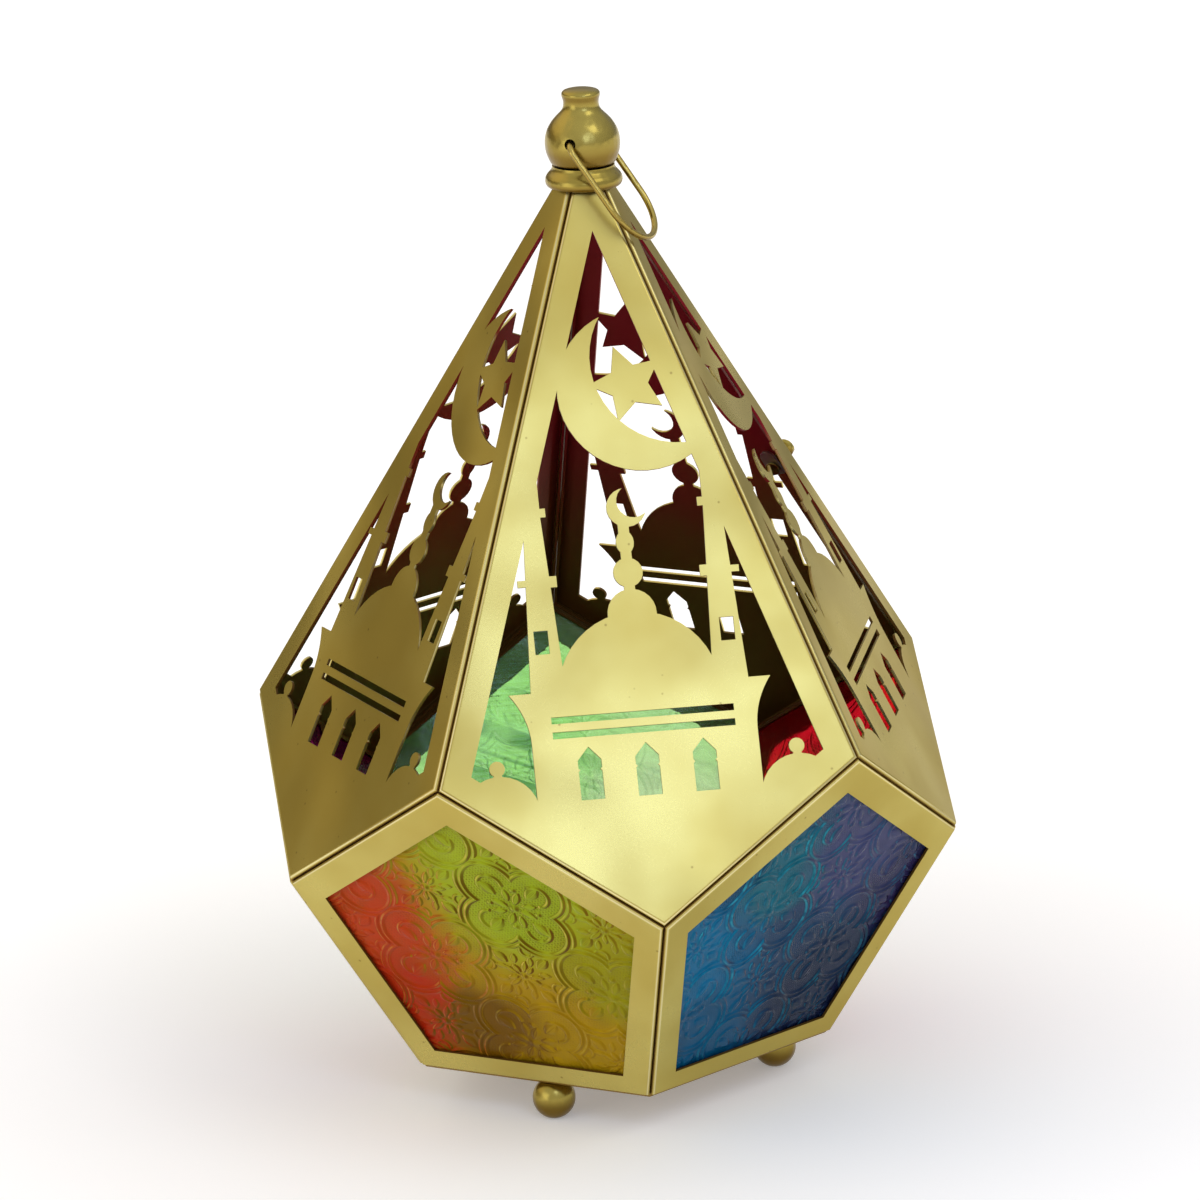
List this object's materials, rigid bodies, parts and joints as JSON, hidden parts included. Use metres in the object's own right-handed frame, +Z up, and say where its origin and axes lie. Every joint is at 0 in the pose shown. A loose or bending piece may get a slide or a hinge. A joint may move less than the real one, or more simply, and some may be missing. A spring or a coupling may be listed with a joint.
{
  "type": "candle lantern",
  "caption": "Pear-shaped candle lantern of folded metal faces: pierced panels above, coloured pressed-glass panes below, with a hinged door, a turned finial and a wire hanging loop.",
  "frame": {"origin": "on the surface that the lantern stands on, under its axis", "axes": "+Z up along the lantern's axis, the front panel faces -Y, +X to the right"},
  "size_m": [0.1998, 0.21, 0.3022],
  "materials": {
    "pale_gold": "satin, pale champagne gold",
    "steel": "plain zinc-plated fasteners",
    "amber_glass": "pressed floral relief, coloured from orange to yellow-green",
    "blue_glass": "pressed floral relief, coloured from teal to violet",
    "red_glass": "pressed floral relief, red",
    "green_glass": "pressed floral relief, mint green",
    "magenta_glass": "pressed floral relief, magenta"
  },
  "bodies": {
    "lantern": {"front_window_panel": "pale_gold", "right_window_panel": "pale_gold", "back_left_window_panel": "pale_gold", "left_window_panel": "pale_gold", "front_right_frame": "pale_gold", "front_right_pane": "blue_glass", "right_frame": "pale_gold", "right_pane": "red_glass", "back_frame": "pale_gold", "back_pane": "green_glass", "left_frame": "pale_gold", "left_pane": "magenta_glass", "front_left_frame": "pale_gold", "front_left_pane": "amber_glass", "floor_plate": "pale_gold", "candle_cup": "pale_gold", "cup_screw": "steel", "cup_nut": "steel", "ball_foot_1": "pale_gold", "foot_screw_1": "steel", "ball_foot_2": "pale_gold", "foot_screw_2": "steel", "ball_foot_3": "pale_gold", "foot_screw_3": "steel", "cone_washer": "steel", "crown_bolt": "steel", "collar": "pale_gold", "finial": "pale_gold", "lower_hinge_fixed_leaf": "pale_gold", "lower_hinge_pin": "steel", "upper_hinge_fixed_leaf": "pale_gold", "upper_hinge_pin": "steel"},
    "door": {"door_panel": "pale_gold", "lower_hinge_door_leaf": "pale_gold", "upper_hinge_door_leaf": "pale_gold"},
    "latch": {"latch_knob": "pale_gold", "latch_tongue": "steel"},
    "bail": {"bail": "pale_gold"}
  },
  "joints": [
    {"name": "door_hinge", "type": "hinge", "parent": "lantern", "child": "door", "pos_m": [0, 0.06208, 0.19326], "axis": [0, -0.5257, 0.8507], "range_deg": [0, 110]},
    {"name": "latch_turn", "type": "hinge", "parent": "door", "child": "latch", "pos_m": [0.05958, 0.02419, 0.17984], "axis": [0.5257, 0.7236, 0.4472], "range_deg": [0, 90]},
    {"name": "bail_swing", "type": "hinge", "parent": "lantern", "child": "bail", "pos_m": [0, 0, 0.28751], "axis": [-0.4695, -0.8829, 0], "range_deg": [0, 287]}
  ]
}
